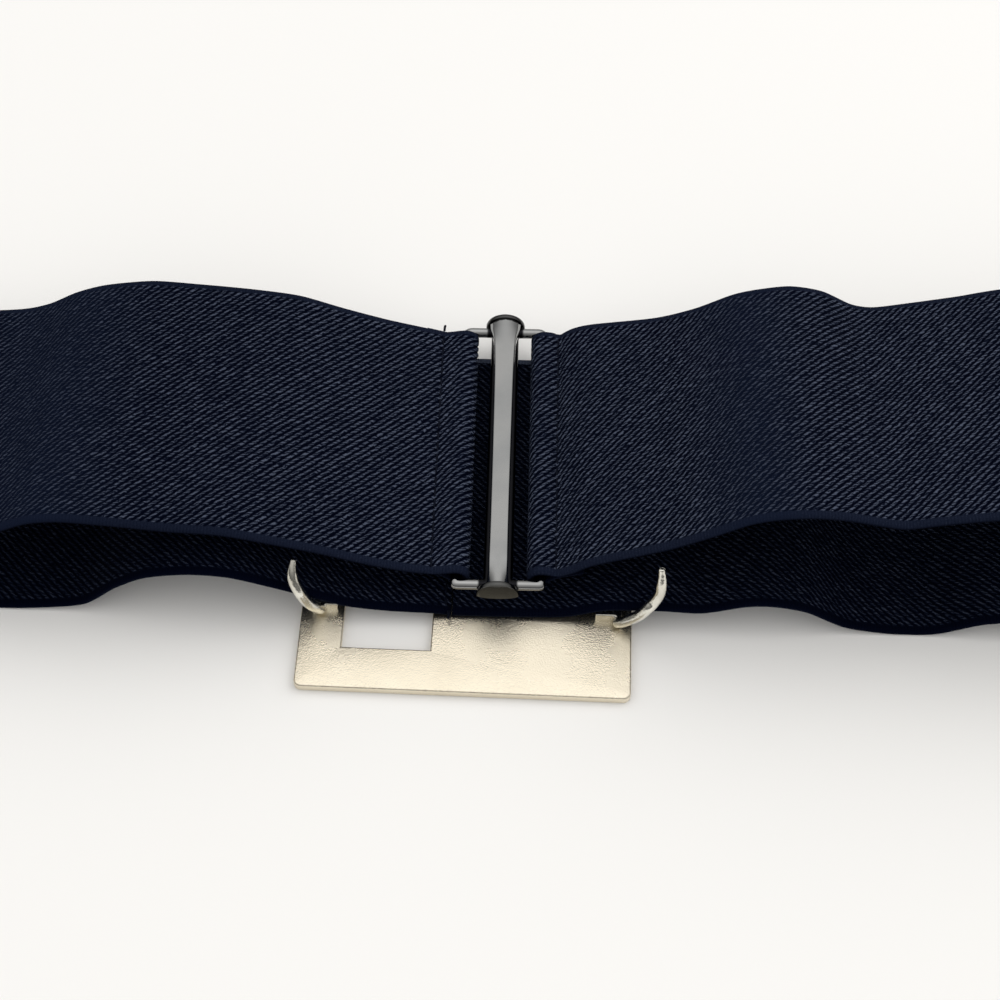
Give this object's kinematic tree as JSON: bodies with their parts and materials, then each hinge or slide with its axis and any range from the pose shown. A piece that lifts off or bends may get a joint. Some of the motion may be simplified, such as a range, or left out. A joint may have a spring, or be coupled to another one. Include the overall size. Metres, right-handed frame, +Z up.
{
  "type": "elastic stretch belt",
  "caption": "Closed loop of wide twill elastic with a bar clasp, lying flattened in two layers on its metal buckle plate with two hooks.",
  "frame": {"origin": "the middle of the buckle plate's face, on the surface that the belt lies on", "axes": "+X along the belt, +Y to its far side away from the viewer, +Z up"},
  "size_m": [0.31, 0.0846, 0.033],
  "materials": {
    "elastic": "navy-black woven elastic with diagonal twill ribs",
    "gunmetal": "polished gunmetal plating",
    "nickel": "pale warm nickel plating, satin and slightly mottled"
  },
  "bodies": {
    "root": {"band_left": "elastic", "band_right": "elastic", "clasp_bar": "gunmetal", "clasp_loop_left": "gunmetal", "clasp_loop_right": "gunmetal", "buckle_plate": "nickel"}
  },
  "joints": []
}
